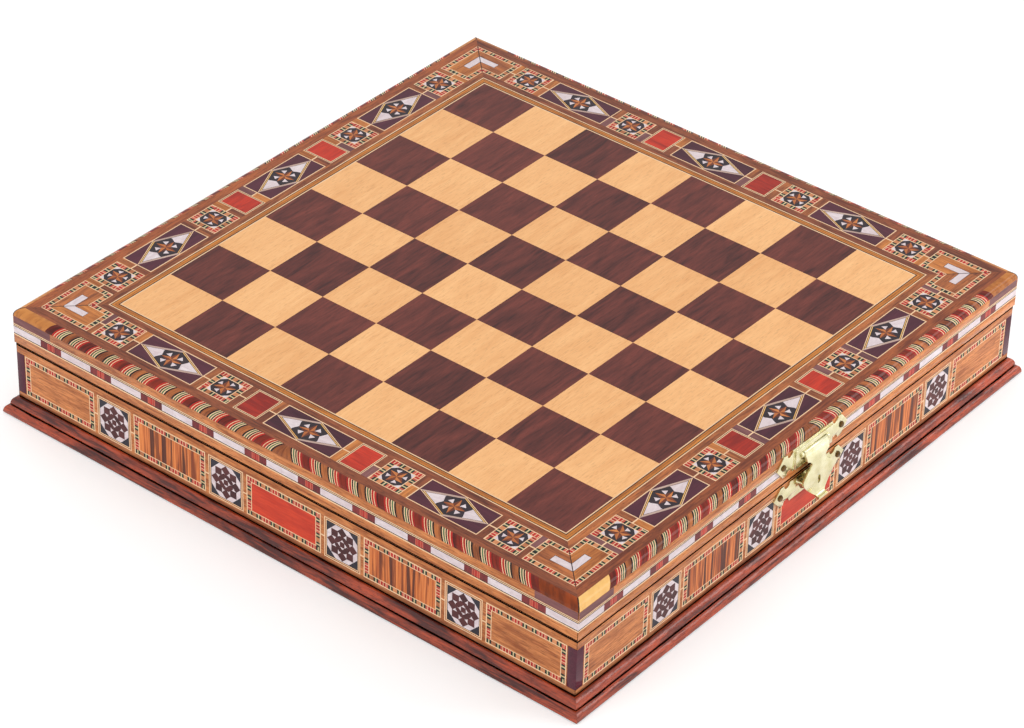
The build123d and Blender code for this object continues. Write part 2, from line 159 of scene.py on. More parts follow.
def anticlockwise(points):
    return list(points) if area(points) > 0 else list(points)[::-1]


def split(points, a, b):
    """The parts of a convex outline on the left and on the right of the line from a to b."""
    left, right = [], []
    for p, q in edges(points):
        here, there = turn_of(a, b, p), turn_of(a, b, q)
        if here >= -HAIR:
            left.append(p)
        if here <= HAIR:
            right.append(p)
        if min(here, there) < -HAIR and max(here, there) > HAIR:
            share = here / (here - there)
            cut = (p[0] + share * (q[0] - p[0]), p[1] + share * (q[1] - p[1]))
            left.append(cut)
            right.append(cut)
    return left, right


def apart(one, other):
    """True if the boxes round two outlines don't overlap."""
    return any(
        max(p[k] for p in one) <= min(p[k] for p in other) + HAIR
        or max(p[k] for p in other) <= min(p[k] for p in one) + HAIR
        for k in (0, 1)
    )


def within(points, clip):
    """The part of a convex outline inside another."""
    for a, b in edges(clip):
        points = split(points, a, b)[0]
        if area(points) < SPECK:
            return []
    return points


def without(points, cutter):
    """The convex parts of an outline that are left when another is cut out of it."""
    if apart(points, cutter):
        return [points]
    whole, parts = points, []
    for a, b in edges(cutter):
        points, beyond = split(points, a, b)
        if area(beyond) > SPECK:
            parts.append(beyond)
        if area(points) < SPECK:
            return [whole]
    return parts


def rectangle(x0, y0, x1, y1):
    return [(x0, y0), (x1, y0), (x1, y1), (x0, y1)]


def moved(points, x=0.0, y=0.0, angle=0.0):
    c, s = math.cos(math.radians(angle)), math.sin(math.radians(angle))
    return [(x + c * px - s * py, y + s * px + c * py) for px, py in points]


def centred(width, height, x=0.0, y=0.0, angle=0.0):
    """A rectangle round (x, y), turned by an angle in degrees."""
    return moved(rectangle(-width / 2, -height / 2, width / 2, height / 2), x, y, angle)


def polar(radius, angle):
    return radius * math.cos(math.radians(angle)), radius * math.sin(math.radians(angle))


class Mosaic:
    """Veneers laid side by side. A new one cuts away what lies where it goes."""

    def __init__(self, clip=None):
        self.clip = clip and anticlockwise(clip)
        self.parts = []
        self.count = 0

    def lay(self, points, wood, grain=0.0):
        """Lays a convex veneer, with its grain at an angle in degrees."""
        points = anticlockwise(points)
        if self.clip:
            points = within(points, self.clip)
        if len(points) < 3 or area(points) < SPECK:
            return
        under, self.parts = self.parts, []
        for old, *kept in under:
            self.parts += [(part, *kept) for part in without(old, points)]
        self.count += 1
        self.parts.append((points, wood, grain, self.count))

    def ring(self, half_x, half_y, width, wood, upright_wood=None):
        """Four mitred strips just inside a rectangle."""
        in_x, in_y = half_x - width, half_y - width
        for sign in (-1, 1):
            x, y = sign * half_x, sign * half_y
            upright = [(x, -half_y), (x, half_y), (sign * in_x, in_y), (sign * in_x, -in_y)]
            self.lay(upright, upright_wood or wood, 90)
            self.lay([(-half_x, y), (half_x, y), (in_x, sign * in_y), (-in_x, sign * in_y)], wood)

    def rings(self, half_x, half_y, lines):
        """Rings of (wood, width) one inside another. Returns half the sizes of what is left."""
        for wood, width in lines:
            self.ring(half_x, half_y, width, wood)
            half_x, half_y = half_x - width, half_y - width
        return half_x, half_y

    def row(self, start, end, low, high, sequence, upright=False):
        """Short veneers side by side from start to end, in a repeating sequence of (wood, width)."""
        at, number = start, 0
        while at < end - HAIR:
            wood, width = sequence[number % len(sequence)]
            stop = min(at + width, end)
            corners = (low, at, high, stop) if upright else (at, low, stop, high)
            self.lay(rectangle(*corners), wood, 0 if upright else 90)
            at, number = stop, number + 1

    def chequer(self, half_x, half_y, line, strip, inner_line, first=0):
        """A border: a light line, a strip of small coloured pieces and another light line."""
        self.rings(half_x, half_y, (("cream", line), ("tan", strip), ("cream", inner_line)))
        x, y = half_x - line, half_y - line
        sequence = CHEQUER[first:] + CHEQUER[:first]
        for sign in (-1, 1):
            self.row(-x, x, sign * y, sign * (y - strip), sequence[::sign])
            self.row(strip - y, y - strip, sign * x, sign * (x - strip), sequence[::-sign], upright=True)

    @functools.cache
    def joined(self):
        """The veneers with shared corners: (points, wood, grain, number), and the edges at the rim."""
        cells = {}

        def snapped(p):
            column, row = round(p[0] / SNAP), round(p[1] / SNAP)
            for cell in ((column + i, row + j) for i in (0, -1, 1) for j in (0, -1, 1)):
                if cell in cells:
                    return cells[cell]
            return cells.setdefault((column, row), p)

        outlines = []
        for points, *kept in self.parts:
            corners = [snapped(p) for p in points]
            corners = [p for p, q in edges(corners) if p != q]
            if len(corners) > 2:
                outlines.append((corners, *kept))
        spots = sorted(cells.values())
        parts = []
        for corners, *kept in outlines:
            full = []
            for p, q in edges(corners):
                full += [p, *points_between(p, q, spots)]
            parts.append((full, *kept))
        sides = {pair for full, *_ in parts for pair in edges(full)}
        return parts, {pair for pair in sides if pair[::-1] not in sides}


def points_between(p, q, spots):
    """The spots that lie on the line from p to q, in their order along it."""
    length = math.dist(p, q)
    found = []
    for spot in spots:
        if min(p[0], q[0]) - SNAP < spot[0] < max(p[0], q[0]) + SNAP and abs(turn_of(p, q, spot)) < SNAP:
            along = ((spot[0] - p[0]) * (q[0] - p[0]) + (spot[1] - p[1]) * (q[1] - p[1])) / length
            if SNAP < along < length - SNAP:
                found.append((along, spot))
    return [spot for _, spot in sorted(found)]


def veneer(width, height, wood, grain=0.0):
    """A mosaic with one plain rectangle in it."""
    mosaic = Mosaic()
    mosaic.lay(centred(width, height), wood, grain)
    return mosaic


# The strip of the chequered borders: reds between light lines, and a tan piece between fine stripes
LIGHT = ("cream", 0.35)
REDS = [("rose", 1.3), LIGHT, ("red", 1.5), LIGHT, ("red", 1.5), LIGHT, ("rose", 1.3)]
STRIPES = [("black", 0.9), ("green", 0.45), ("cream", 0.45), ("green", 0.45), ("black", 0.9)]
CHEQUER = REDS + STRIPES + [("tan", 2.8)] + STRIPES


# Tiles of the top
def star(mosaic, radius, side_radius, angle, pearl_angle):
    """Four pointed arms, each of a light and a dark half, and four small pearl triangles between them."""
    spread = 45
    for quarter in TURNS:
        arm = angle + quarter
        tip = polar(radius, arm)
        mosaic.lay([(0, 0), polar(side_radius, arm - spread), tip], "amber", arm)
        mosaic.lay([(0, 0), tip, polar(side_radius, arm + spread)], "russet", arm)
        out = arm + pearl_angle * (1 if quarter % 180 else -1) + spread
        base = 0.9 * radius
        mosaic.lay([polar(side_radius, out), polar(base, out - 16), polar(base, out + 16)], "pearl", out)


def star_tile(hand):
    """A pinwheel star in a chequered border. Its hand is 1 or -1."""
    line, strip, corner_l = 0.5, 2.8, 2.9
    mosaic = veneer(motif_w, motif_w, "ink")
    mosaic.chequer(motif_w / 2, motif_w / 2, line, strip, line, first=2)
    core = motif_w / 2 - line - strip - line
    corner = [(core, core), (core - corner_l, core), (core, core - corner_l)]
    for quarter in TURNS:
        mosaic.lay(moved(corner, angle=quarter), "pearl", quarter + 45)
    star(mosaic, 6.3, 2.9, hand * 22.5, 0)
    return mosaic


def diamond_tile(hand):
    """A framed rhombus with pearl tips and a star. Its hand says which two sides of the frame are golden."""
    line, core = 0.6, 0.825
    wide, high = diamond_w / 2 - line, motif_w / 2 - line
    mosaic = veneer(diamond_w, motif_w, "aubergine")
    mosaic.ring(diamond_w / 2, motif_w / 2, line, "cream")

    def rhombus(share):
        return [(share * wide, 0), (0, share * high), (-share * wide, 0), (0, -share * high)]

    golden = (("cream", 1.0, 0.95), ("umber", 0.95, 0.91), ("blond", 0.91, 0.86), ("umber", 0.86, core))
    grey = (("mist", 1.0, 0.85), ("umber", 0.85, core))
    slope = math.degrees(math.atan2(high, wide))
    for side in range(4):
        for wood, outside, inside in golden if side % 2 == hand else grey:
            outer, inner_line = rhombus(outside), rhombus(inside)
            after = (side + 1) % 4
            band = [outer[side], outer[after], inner_line[after], inner_line[side]]
            mosaic.lay(band, wood, slope if side % 2 else -slope)
    middle = Mosaic(clip=rhombus(core))
    middle.lay(centred(diamond_w, motif_w), "pearl", 10)
    middle.lay(centred(17.2, motif_w), "ink", 90)
    for sign in (-1, 1):
        middle.lay([(sign * 8.7, -3.6), (sign * 8.7, 3.6), (sign * 6.9, 0)], "pearl", 10)
    star(middle, 6.8, 2.7, 4, 5)
    for points, wood, grain, _ in middle.parts:
        mosaic.lay(points, wood, grain)
    return mosaic


def red_tile():
    """A glossy red veneer in a light, dark and light line."""
    mosaic = veneer(red_w, motif_w, "ruby")
    half_x, half_y = red_w / 2, motif_w / 2
    mosaic.ring(half_x, half_y, 1.3, "cream")
    mosaic.ring(half_x - 0.45, half_y - 0.45, 0.4, "umber")
    return mosaic


def corner_arm(wood):
    """Half of an L-shaped corner tile, from its mitre to its end."""
    end, mitre = [(inner, motif_in), (inner, motif_out)], [(motif_out, motif_out), (motif_in, motif_in)]
    arm = Mosaic(clip=end[::-1] + mitre[::-1])
    line, strip, inner_line = 0.5, 2.4, 0.5
    edge = line + strip + inner_line
    arm.lay(rectangle(inner, motif_in, motif_out, motif_out), wood)
    arm.lay(rectangle(inner, motif_out - edge, motif_out, motif_out), "cream")
    arm.lay(rectangle(inner, motif_in, motif_out, motif_in + edge), "cream")
    arm.lay(rectangle(inner, motif_in, inner + edge, motif_out), "cream", 90)
    arm.row(inner + line, motif_out, motif_out - line - strip, motif_out - line, CHEQUER[4:] + CHEQUER[:4])
    arm.row(inner + line, motif_out, motif_in + line, motif_in + line + strip, CHEQUER[5:] + CHEQUER[:5])
    arm.row(motif_in + edge, motif_out - edge, inner + line, inner + line + strip, CHEQUER[7:], upright=True)
    pearl_w, pearl_l, groove = 4.2, 14.5, 0.25
    pearl_out = motif_out - 8.5
    pearl_in, pearl_end = pearl_out - pearl_w, pearl_out - pearl_l
    arm.lay(rectangle(pearl_end - groove, pearl_in - groove, motif_out, pearl_out + groove), "umber")
    arm.lay(rectangle(pearl_out, pearl_in - 1, motif_out - edge, motif_out - edge), wood)
    arm.lay(rectangle(pearl_end, pearl_in, pearl_out, pearl_out), "pearl", 10)
    arm.lay(moved(rectangle(0, 0, 3 * motif_w, groove), motif_in, motif_in, 45), "umber")
    return arm


def corner_tile():
    """An L-shaped tile: two mitred arms, each the other's mirror image."""
    one, other = corner_arm("chestnut"), corner_arm("walnut")
    tile = Mosaic()
    tile.parts = list(one.parts)
    for points, wood, grain, number in other.parts:
        flipped = [(y, x) for x, y in reversed(points)]
        tile.parts.append((flipped, wood, 90 - grain, number + one.count))
    return tile


# Panels of the walls
def wall_panel(wood, grain):
    """A wide panel of one wood in a chequered border."""
    mosaic = veneer(side_panel_w, side_tile_h, wood, grain)
    mosaic.chequer(side_panel_w / 2, side_tile_h / 2, 0.7, 2.5, 0.5)
    return mosaic


def wall_star():
    """Maroon squares and lozenges on a pearl ground, with dark corners and fine lines round them."""
    mosaic = veneer(side_star_w, side_tile_h, "pearl")
    lines = (("cream", 0.6), ("walnut", 0.55), ("cream", 0.5), ("umber", 0.35))
    half_x, half_y = mosaic.rings(side_star_w / 2, side_tile_h / 2, lines)
    block = 4.5
    block_reach = block * math.sqrt(0.5)
    lozenge = [(3.8, 0), (2.1, 1.4), (-2.1, 1.4), (-3.8, 0), (-2.1, -1.4), (2.1, -1.4)]
    for sx in (-1, 1):
        for sy in (-1, 1):
            x, y = sx * half_x, sy * half_y
            mosaic.lay([(x, y), (x - sx * 5.7, y), (x, y - sy * 5.9)], "navy", 45)
            mosaic.lay(centred(block, block, sx * 5.1, sy * 5.3), "maroon")
            mosaic.lay(moved(lozenge, sx * 2.45, sy * 2.6, -sx * sy * 45), "maroon")
    for sign in (-1, 1):
        mosaic.lay(centred(block, block, sign * (half_x - block_reach), 0, 45), "maroon")
        mosaic.lay(centred(block, block, 0, sign * (half_y - block_reach), 45), "maroon")
    mosaic.lay(centred(3.2, 3.4), "maroon")
    return mosaic


# Meshes
class Piece:
    """A mesh in the making: faces, each with a wood, a tone from 0 to 1 and its place in that wood."""

    def __init__(self, name):
        self.name = name
        self.index, self.corners, self.faces = {}, [], []
        self.woods, self.tones, self.grains = [], [], []
        self.solid = 0

    def corner(self, point):
        """The number of a corner, shared within one solid."""
        key = (self.solid, *(round(value, 3) for value in point))
        if key not in self.index:
            self.index[key] = len(self.corners)
            self.corners.append(Vector(point) * MM)
        return self.index[key]

    def face(self, points, wood, tone, grains):
        self.faces.append([self.corner(p) for p in points])
        self.woods.append(wood)
        self.tones.append(tone)
        self.grains += grains

    def mosaic(self, mosaic, origin, along, across, thickness, seed, end_cut=0.0):
        """Lays a mosaic on a plane as one flat solid. Its back is shorter by the end cut at both ends."""
        self.solid += 1
        down = along.cross(across) * -thickness
        parts, rim = mosaic.joined()
        reach_x = max(abs(p[0]) for full, *_ in parts for p in full)

        def front(p):
            return origin + along * p[0] + across * p[1]

        def back(p):
            return front((p[0] * (1 - end_cut / reach_x), p[1])) + down

        for full, wood, grain, number in parts:
            dice = random.Random(1000 * seed + number)
            shift = [dice.uniform(0, 900) for _ in range(3)]
            tone = dice.random()
            grains = [(*p, shift[2]) for p in moved(moved(full, angle=-grain), *shift[:2])]
            self.face([front(p) for p in full], wood, tone, grains)
            self.face([back(p) for p in full][::-1], wood, tone, grains[::-1])
            for k, pair in enumerate(edges(full)):
                if pair in rim:
                    p, q = pair
                    a, b = grains[k], grains[(k + 1) % len(full)]
                    self.face([front(q), front(p), back(p), back(q)], wood, tone, [b, a, a, b])

    def done(self, body, *nodes, slot=None):
        """The finished object, which rides on a body and stands for CAD nodes."""
        mesh = bpy.data.meshes.new(self.name)
        mesh.from_pydata(self.corners, [], self.faces)
        names = sorted(set(self.woods))
        for name in names:
            mesh.materials.append(material(name))
        mesh.polygons.foreach_set("material_index", [names.index(wood) for wood in self.woods])
        put_grain(mesh, self.grains, self.tones)
        return placed(mesh, body, *nodes, slot=slot)


def put_grain(mesh, grains, tones):
    """Writes each corner's place in its wood and each face's tone."""
    grain = mesh.attributes.new("grain", "FLOAT_VECTOR", "CORNER")
    grain.data.foreach_set("vector", [value for place in grains for value in place])
    tone = mesh.attributes.new("tone", "FLOAT", "FACE")
    tone.data.foreach_set("value", tones)
    mesh.update()


def linked(data):
    """A new object in the scene, named as its data."""
    made = bpy.data.objects.new(data.name, data)
    bpy.context.scene.collection.objects.link(made)
    return made


def placed(mesh, body, *nodes, slot=None):
    made = linked(mesh)
    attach(made, body)
    if nodes:
        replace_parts(made, *nodes)
    return made


X, Y, UP = Vector((1, 0, 0)), Vector((0, 1, 0)), Vector((0, 0, 1))


def each_side():
    """For each side in turn, its angle, the way along it and the way outward."""
    for turn in TURNS:
        c, s = math.cos(math.radians(turn)), math.sin(math.radians(turn))
        yield turn, Vector((c, s, 0)), Vector((s, -c, 0))


# Woods: light and dark colour, and the strength of fibres, figure, pores and variety between pieces
WOODS = {
    "maple": ((250, 194, 134), (228, 164, 104), 0.5, 0.5, 0.25, 0.3),
    "rosewood": ((122, 56, 46), (66, 26, 24), 0.6, 0.8, 0.3, 0.3),
    "walnut": ((194, 114, 62), (108, 54, 34), 0.9, 0.9, 0.5, 0.3),
    "chestnut": ((214, 134, 68), (146, 78, 36), 0.9, 0.8, 0.4, 0.4),
    "plum": ((158, 86, 52), (86, 40, 28), 0.9, 0.8, 0.5, 0.3),
    "sorrel": ((178, 96, 52), (108, 50, 30), 0.9, 0.7, 0.5, 0.3),
    "dusk": ((138, 88, 86), (96, 56, 58), 0.6, 0.7, 0.3, 0.4),
    "aubergine": ((92, 38, 54), (58, 20, 34), 0.5, 0.6, 0.2, 0.4),
    "cream": ((248, 212, 172), (230, 184, 140), 0.4, 0.3, 0.05, 0.3),
    "blond": ((250, 206, 130), (232, 172, 94), 0.6, 0.9, 0.1, 0.2),
    "mist": ((208, 180, 166), (166, 134, 122), 0.8, 0.4, 0.3, 0.3),
    "gold": ((216, 136, 54), (158, 88, 30), 0.9, 0.7, 0.2, 0.2),
    "honey": ((214, 142, 74), (146, 80, 36), 0.9, 0.9, 0.3, 0.6),
    "treacle": ((158, 66, 14), (52, 14, 2), 1.1, 1.6, 0.3, 0.1),
    "tan": ((216, 144, 96), (164, 98, 60), 0.5, 0.5, 0.2, 0.9),
    "amber": ((210, 128, 68), (160, 84, 40), 0.5, 0.4, 0.1, 0.6),
    "russet": ((130, 64, 38), (84, 36, 24), 0.5, 0.4, 0.1, 0.6),
    "umber": ((56, 28, 20), (34, 16, 12), 0.3, 0.3, 0.1, 0.4),
    "mahogany": ((180, 72, 38), (74, 20, 12), 1.1, 1.4, 0.6, 0.3),
    "crimson": ((220, 70, 38), (178, 40, 20), 0.6, 0.8, 0.2, 0.4),
    "ruby": ((204, 54, 30), (136, 28, 16), 0.6, 0.9, 0.2, 0.7),
    "brick": ((136, 42, 24), (70, 20, 14), 0.9, 0.8, 0.3, 0.6),
    "red": ((196, 46, 36), (146, 28, 24), 0.4, 0.4, 0.1, 0.6),
    "rose": ((208, 106, 82), (172, 70, 56), 0.4, 0.4, 0.1, 0.6),
    "garnet": ((138, 50, 48), (92, 30, 34), 0.6, 0.6, 0.3, 0.5),
    "maroon": ((96, 46, 46), (56, 26, 28), 0.5, 0.5, 0.2, 0.6),
    "green": ((112, 134, 92), (60, 88, 54), 0.3, 0.3, 0.05, 0.8),
    "navy": ((52, 48, 58), (30, 28, 38), 0.3, 0.3, 0.05, 0.3),
    "ink": ((56, 42, 50), (28, 20, 26), 0.3, 0.3, 0.05, 0.3),
    "black": ((30, 22, 22), (14, 10, 10), 0.3, 0.3, 0.05, 0.3),
    "box_wood": ((212, 146, 98), (170, 104, 62), 0.7, 0.7, 0.4, 0.4),
    "wall_wood": ((222, 142, 84), (152, 82, 42), 1.1, 0.8, 0.6, 0.2),
}
LACQUER = {"Coat_Weight": 0.7, "Coat_Roughness": 0.06, "Coat_IOR": 1.4}
POLISH = {"Coat_Weight": 1.0, "Coat_Roughness": 0.12, "Coat_IOR": 1.52}


class Shader:
    """The nodes of a new material or world, made call by call."""

    def __init__(self, name, kind="materials", last="Principled BSDF", **sockets):
        self.made = getattr(bpy.data, kind).new(name)
        self.made.use_nodes = True
        self.tree = self.made.node_tree
        self.last = self.tree.nodes[last]
        self.give(**sockets)

    def give(self, **sockets):
        """Sets or links sockets of the last node, and returns the material or world."""
        for socket, value in sockets.items():
            self.put(self.last, socket.replace("_", " "), value)
        return self.made

    def put(self, node, socket, value):
        if isinstance(value, bpy.types.NodeSocket):
            self.tree.links.new(value, node.inputs[socket])
        else:
            node.inputs[socket].default_value = value

    def node(self, kind, inputs=(), **properties):
        made = self.tree.nodes.new(kind)
        for key, value in properties.items():
            setattr(made, key, value)
        for socket, value in dict(inputs).items():
            self.put(made, socket, value)
        return made

    def math(self, operation, a, b):
        return self.node("ShaderNodeMath", {0: a, 1: b}, operation=operation).outputs[0]

    def total(self, *terms):
        """The sum of values, each less a half and then weighted."""
        total = 0.0
        for value, weight in terms:
            term = self.math("MULTIPLY", self.math("SUBTRACT", value, 0.5), weight)
            total = self.math("ADD", total, term)
        return total

    def scaled(self, vector, scale):
        return self.node("ShaderNodeVectorMath", {0: vector, 1: scale}, operation="MULTIPLY").outputs[0]

    def spot(self):
        """A point's place in the object."""
        return self.node("ShaderNodeTexCoord").outputs["Object"]

    def attribute(self, name, output):
        return self.node("ShaderNodeAttribute", attribute_name=name).outputs[output]

    def noise(self, vector, scale=1.0, detail=3.0, distortion=0.0):
        inputs = {"Vector": vector, "Scale": scale, "Detail": detail, "Distortion": distortion}
        return self.node("ShaderNodeTexNoise", inputs).outputs["Fac"]

    def fibrous(self, along, across, detail, distortion=0.0):
        """Noise with one scale along the grain and another across it."""
        place = self.scaled(self.attribute("grain", "Vector"), (along, across, across))
        return self.noise(place, 1.0, detail, distortion)

    def between(self, value, low, high, to_low, to_high):
        """Goes from to_low to to_high as a value goes from low to high."""
        inputs = {"Value": value, "From Min": low, "From Max": high, "To Min": to_low, "To Max": to_high}
        return self.node("ShaderNodeMapRange", inputs).outputs["Result"]

    def mix(self, value, low, high, a, b, most=1.0):
        """Goes from colour a to b, or most of the way, as a value goes from low to high."""
        share = self.between(value, low, high, 0.0, most)
        return self.node("ShaderNodeMix", {0: share, 6: a, 7: b}, data_type="RGBA").outputs[2]

    def bump(self, height, strength, distance):
        inputs = {"Height": height, "Strength": strength, "Distance": distance}
        return self.node("ShaderNodeBump", inputs).outputs["Normal"]

    def rays(self, *kinds):
        """1 for rays of these kinds, and 0 for others."""
        path = self.node("ShaderNodeLightPath")
        total = 0.0
        for kind in kinds:
            total = self.math("MAXIMUM", total, path.outputs[kind])
        return total


def linear(colour):
    """A colour given as 0 to 255 for each of red, green and blue, in linear light."""
    return tuple(((c / 255 + 0.055) / 1.055) ** 2.4 if c > 10 else c / 255 / 12.92 for c in colour) + (1.0,)


def lacquered(name):
    """Wood under clear gloss lacquer. Fibres, figure and pores run along the first axis of its grain."""
    light, dark, fibre, figure, pores, variety = WOODS[name]
    light, dark = linear(light), linear(dark)
    moulding = name == "mahogany"
    shader = Shader(name, Roughness=0.5, Specular_IOR_Level=0.0, **(POLISH if moulding else LACQUER))
    fibres = shader.fibrous(0.07, 0.9, 5.0)
    clouds = shader.fibrous(0.025, 0.13, 3.0, 1.0)
    tone = shader.attribute("tone", "Fac")
    share = shader.total((fibres, 1.8 * fibre), (clouds, 2.2 * figure), (tone, variety))
    colour = shader.mix(share, -0.5, 0.5, dark, light)
    deep = tuple(0.4 * c for c in dark[:3]) + (1.0,)
    colour = shader.mix(shader.fibrous(0.24, 1.9, 2.0), 0.55, 0.68, colour, deep, pores)
    # Painted shade: the wall wood darkens towards the plinth, standing for the shadow and dark reflection at
    # the foot of the wall.
    if name == "wall_wood":
        height = shader.node("ShaderNodeSeparateXYZ", {0: shader.spot()}).outputs["Z"]
        foot = shader.between(height, plinth_high * MM, (tile_low + 1.0) * MM, 1.0, 0.0)
        colour = shader.mix(shader.math("POWER", foot, 1.6), 0.0, 1.0, colour, linear((52, 16, 8)))
    if moulding:
        shader.give(Coat_Normal=shader.bump(shader.fibrous(0.3, 0.9, 4.0), 0.6, 0.0003))
    return shader.give(Base_Color=colour, Normal=shader.bump(fibres, 0.2, 0.00005))


def zebra():
    """Orange wood with broad dark stripes and fine lines along its grain."""
    shader = Shader("zebra", Roughness=0.5, Specular_IOR_Level=0.0, **LACQUER)
    fibres = shader.fibrous(0.03, 1.1, 4.0)
    colour = shader.mix(fibres, 0.36, 0.64, linear((172, 82, 38)), linear((230, 136, 72)))
    lines = shader.fibrous(0.02, 0.5, 3.0, 0.3)
    colour = shader.mix(lines, 0.52, 0.58, colour, linear((112, 50, 28)), 0.8)
    broad = shader.fibrous(0.006, 0.22, 1.0, 0.3)
    return shader.give(Base_Color=shader.mix(broad, 0.54, 0.57, colour, linear((70, 32, 26)), 0.9))


def pearl():
    """Mother-of-pearl: milky, with faint pink and grey clouds."""
    shader = Shader("pearl", Roughness=0.3, Specular_IOR_Level=0.3, **LACQUER)
    clouds = shader.fibrous(0.12, 0.3, 3.0, 1.5)
    colour = shader.mix(clouds, 0.35, 0.65, linear((210, 192, 196)), linear((230, 216, 218)))
    ripple = shader.fibrous(0.5, 1.6, 2.0, 2.0)
    colour = shader.mix(ripple, 0.5, 0.75, colour, linear((190, 190, 196)), 0.5)
    tone = shader.attribute("tone", "Fac")
    return shader.give(Base_Color=shader.mix(tone, 0.0, 1.0, colour, linear((204, 178, 178)), 0.35))


# Brass: dark and light colour, and roughness
BRASSES = {
    "brass": ((214, 206, 158), (234, 228, 192), 0.16),
    # Painted shade: the dark brass of nails and screws stands for the shadowed holes their heads sit in.
    "old_brass": ((70, 48, 26), (128, 98, 56), 0.3),
}


def brass(name):
    """Brass with faint rubbing marks."""
    dark, light, rough = BRASSES[name]
    shader = Shader(name, Metallic=1.0)
    spot = shader.spot()
    clouds = shader.noise(spot, 160.0)
    rubbed = shader.noise(shader.scaled(spot, (300.0, 300.0, 2600.0)))
    return shader.give(
        Base_Color=shader.mix(clouds, 0.35, 0.65, linear(dark), linear(light)),
        Roughness=shader.between(rubbed, 0.3, 0.7, rough, rough + 0.12),
        Normal=shader.bump(clouds, 0.2, 0.0002),
    )


def velvet():
    """Short dark red pile that catches light at its edges."""
    shader = Shader("velvet", Roughness=0.95, Specular_IOR_Level=0.1, Sheen_Weight=0.9, Sheen_Roughness=0.35)
    spot = shader.spot()
    pile = shader.noise(spot, 2600.0, 2.0)
    strokes = shader.noise(shader.scaled(spot, (26.0, 60.0, 60.0)), distortion=1.0)
    share = shader.total((pile, 0.35), (strokes, 0.65))
    return shader.give(
        Base_Color=shader.mix(share, -0.15, 0.15, linear((74, 8, 18)), linear((116, 18, 30))),
        Sheen_Tint=linear((214, 92, 96)),
        Normal=shader.bump(pile, 0.5, 0.0004),
    )


def gap():
    """Painted shade: a dull near-black for the shadow in narrow gaps, seams and grooves."""
    return Shader("gap", Roughness=1.0, Specular_IOR_Level=0.0, Base_Color=linear((18, 8, 6))).made


OTHER_FINISHES = {"zebra": zebra, "pearl": pearl, "velvet": velvet, "gap": gap}


@functools.cache
def material(name):
    """The material of that name, made when it is first asked for."""
    if name in OTHER_FINISHES:
        return OTHER_FINISHES[name]()
    return brass(name) if name in BRASSES else lacquered(name)


# The top of the lid
def playing_squares(name, node, slot, wood, parity):
    piece = Piece(name)
    one = veneer(square, square, wood)
    middle = (squares_per_side - 1) / 2
    for column in range(squares_per_side):
        for row in range(squares_per_side):
            if (column + row) % 2 == parity:
                place = Vector((column - middle, row - middle, 0)) * square + UP * top_z
                piece.mosaic(one, place, X, Y, top_veneer_t, seed=column * squares_per_side + row + 1)
    piece.done("lid", node, slot=slot)


def stringing():
    """Mitred lines round the field."""
    lines = Mosaic()
    golds = [("gold", 1.3), ("russet", 0.2), ("gold", 1.1)]
    woods = [("cream", 0.65), ("umber", 0.45), *golds, ("umber", 0.6), ("cream", 0.7)]
    lines.rings(stringing_half, stringing_half, woods)
    piece = Piece("stringing")
    piece.mosaic(lines, UP * top_z, X, Y, top_veneer_t, seed=201)
    piece.done("lid", "field_stringing", slot="gold_inlay")


def top_tiles(name, node, slot, tiles, places, out=motif_mid, seed=300):
    """A tile at each of its places along the four sides. Tiles are one set for each pair of facing sides."""
    piece = Piece(name)
    for turn, along, outward in each_side():
        pair = tiles[turn // 90 % 2]
        for number, place in enumerate(places):
            tile = pair[number % len(pair)]
            middle = along * place + outward * out + UP * top_z
            piece.mosaic(tile, middle, along, -outward, top_veneer_t, seed=turn + number + seed)
    piece.done("lid", node, slot=slot)


def both_ways(*places):
    return [sign * place for place in places for sign in (-1, 1)]


def tile_spans():
    """Where the tiles of a side begin and end, from one corner tile to the other."""
    tiles = [(0, diamond_w), (red_mid, red_w), (inner_star_mid, motif_w), (outer_diamond_mid, diamond_w)]
    tiles += [(outer_star_mid, motif_w), ((inner + motif_out) / 2, corner_tile_l)]
    middles = {(sign * place, width) for place, width in tiles for sign in (-1, 1)}
    return sorted((middle - width / 2, middle + width / 2) for middle, width in middles)


def ground():
    """The bands that frame the tiles, and the small veneers between one tile and the next."""
    mosaic = Mosaic()
    mosaic.ring(flat_half, flat_half, flat_half - motif_out, "sorrel", "plum")
    mosaic.ring(motif_in, motif_in, motif_in - stringing_half, "walnut", "plum")
    spans = tile_spans()
    tick = tick_w / 2
    dice = random.Random(3)
    for turn in TURNS:
        for (_, start), (end, _) in zip(spans, spans[1:]):
            outer_wood, inner_wood = (dice.choice(("plum", "dusk", "chestnut", "walnut")) for _ in range(2))
            for low, high, wood, grain in (
                (-motif_out, -motif_mid - tick, outer_wood, 90),
                (-motif_mid - tick, -motif_mid + tick, "cream", 0),
                (-motif_mid + tick, -motif_in, inner_wood, 90),
            ):
                mosaic.lay(moved(rectangle(start, low, end, high), angle=turn), wood, turn + grain)
    return mosaic


def lid_board():
    """The board under the veneers, with the ground veneers on it."""
    piece = Piece("lid_board")
    piece.mosaic(ground(), UP * top_z, X, Y, top_veneer_t, seed=901)
    core = veneer(2 * flat_half, 2 * flat_half, "box_wood")
    piece.mosaic(core, UP * veneer_low, X, Y, veneer_low - board_low, seed=902)
    piece.done("lid", "lid_panel", slot="walnut")


